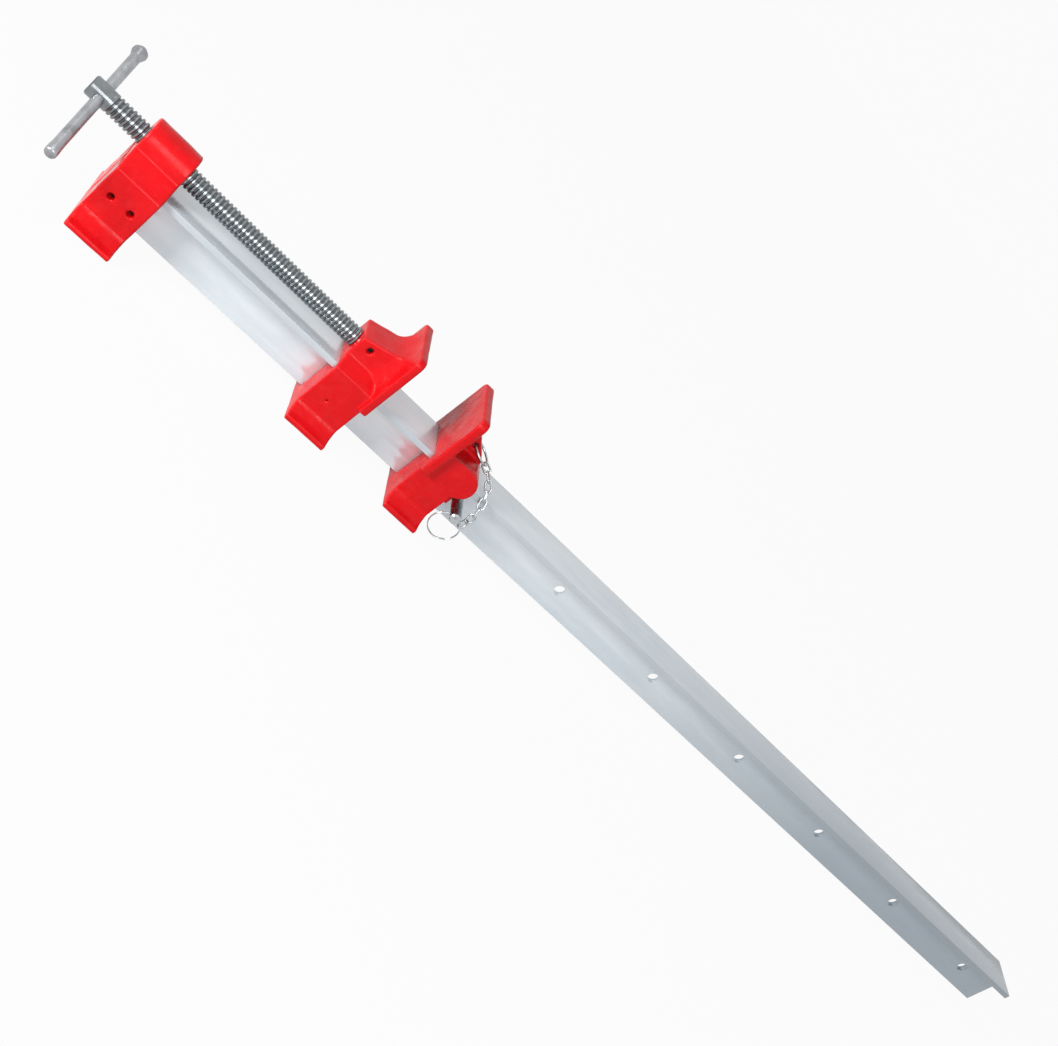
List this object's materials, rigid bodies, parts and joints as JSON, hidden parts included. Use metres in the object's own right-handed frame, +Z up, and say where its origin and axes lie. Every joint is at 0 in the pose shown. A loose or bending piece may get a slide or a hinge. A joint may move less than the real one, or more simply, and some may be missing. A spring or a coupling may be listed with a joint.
{
  "type": "t-bar clamp",
  "caption": "T-section bar clamp with a fixed screw head, a screw-driven sliding shoe, a pegged tail shoe with splayed feet, and a peg on a ring and chain.",
  "frame": {"origin": "middle of the underside of the fixed head's foot", "axes": "+X along the bar from the fixed head to the free end, +Z up, the peg is drawn towards -Y"},
  "size_m": [1.107, 0.1263, 0.0985],
  "materials": {
    "enamel": "glossy red enamel over rough castings",
    "bar_zinc": "dull zinc plating on rolled bar",
    "bright_zinc": "bright zinc plating",
    "dull_steel": "dull plain steel"
  },
  "bodies": {
    "bar": {"t_bar": "bar_zinc", "fixed_head": "enamel", "head_pin_outer": "dull_steel", "head_pin_inner": "dull_steel"},
    "moving_shoe": {"moving_shoe": "enamel", "screw_retaining_pin": "dull_steel"},
    "screw": {"clamp_screw": "bright_zinc"},
    "tommy": {"tommy_bar": "dull_steel"},
    "tail_shoe": {"tail_shoe": "enamel", "anchor_ring": "bright_zinc", "chain_link_1": "bright_zinc", "chain_link_2": "bright_zinc", "chain_link_3": "bright_zinc", "chain_link_4": "bright_zinc", "chain_link_5": "bright_zinc", "chain_link_6": "bright_zinc", "chain_link_7": "bright_zinc", "chain_link_8": "bright_zinc"},
    "peg": {"locking_peg": "bright_zinc"},
    "ring": {"peg_ring": "bright_zinc"}
  },
  "joints": [
    {"name": "shoe_travel", "type": "slide", "parent": "bar", "child": "moving_shoe", "axis": [1, 0, 0], "range_m": [-0.14961, 0.02381]},
    {"name": "screw_spin", "type": "hinge", "parent": "moving_shoe", "child": "screw", "pos_m": [0.182, 0, 0.064], "axis": [1, 0, 0], "range_deg": [-15840, 2520]},
    {"name": "tommy_slide", "type": "slide", "parent": "screw", "child": "tommy", "axis": [0, 0.9563, 0.2924], "range_m": [-0.039, 0.051]},
    {"name": "tail_slide", "type": "slide", "parent": "bar", "child": "tail_shoe", "axis": [1, 0, 0], "range_m": [0, 0.69]},
    {"name": "peg_draw", "type": "slide", "parent": "tail_shoe", "child": "peg", "axis": [0, -1, 0], "range_m": [0, 0.018]},
    {"name": "ring_swing", "type": "hinge", "parent": "peg", "child": "ring", "pos_m": [0.313, -0.03, 0.0295], "axis": [-1, 0, 0], "range_deg": [0, 60]}
  ],
  "couplings": [
    {"joint": "shoe_travel", "follows": "screw_spin", "m_per_rad": 0.00054113}
  ]
}
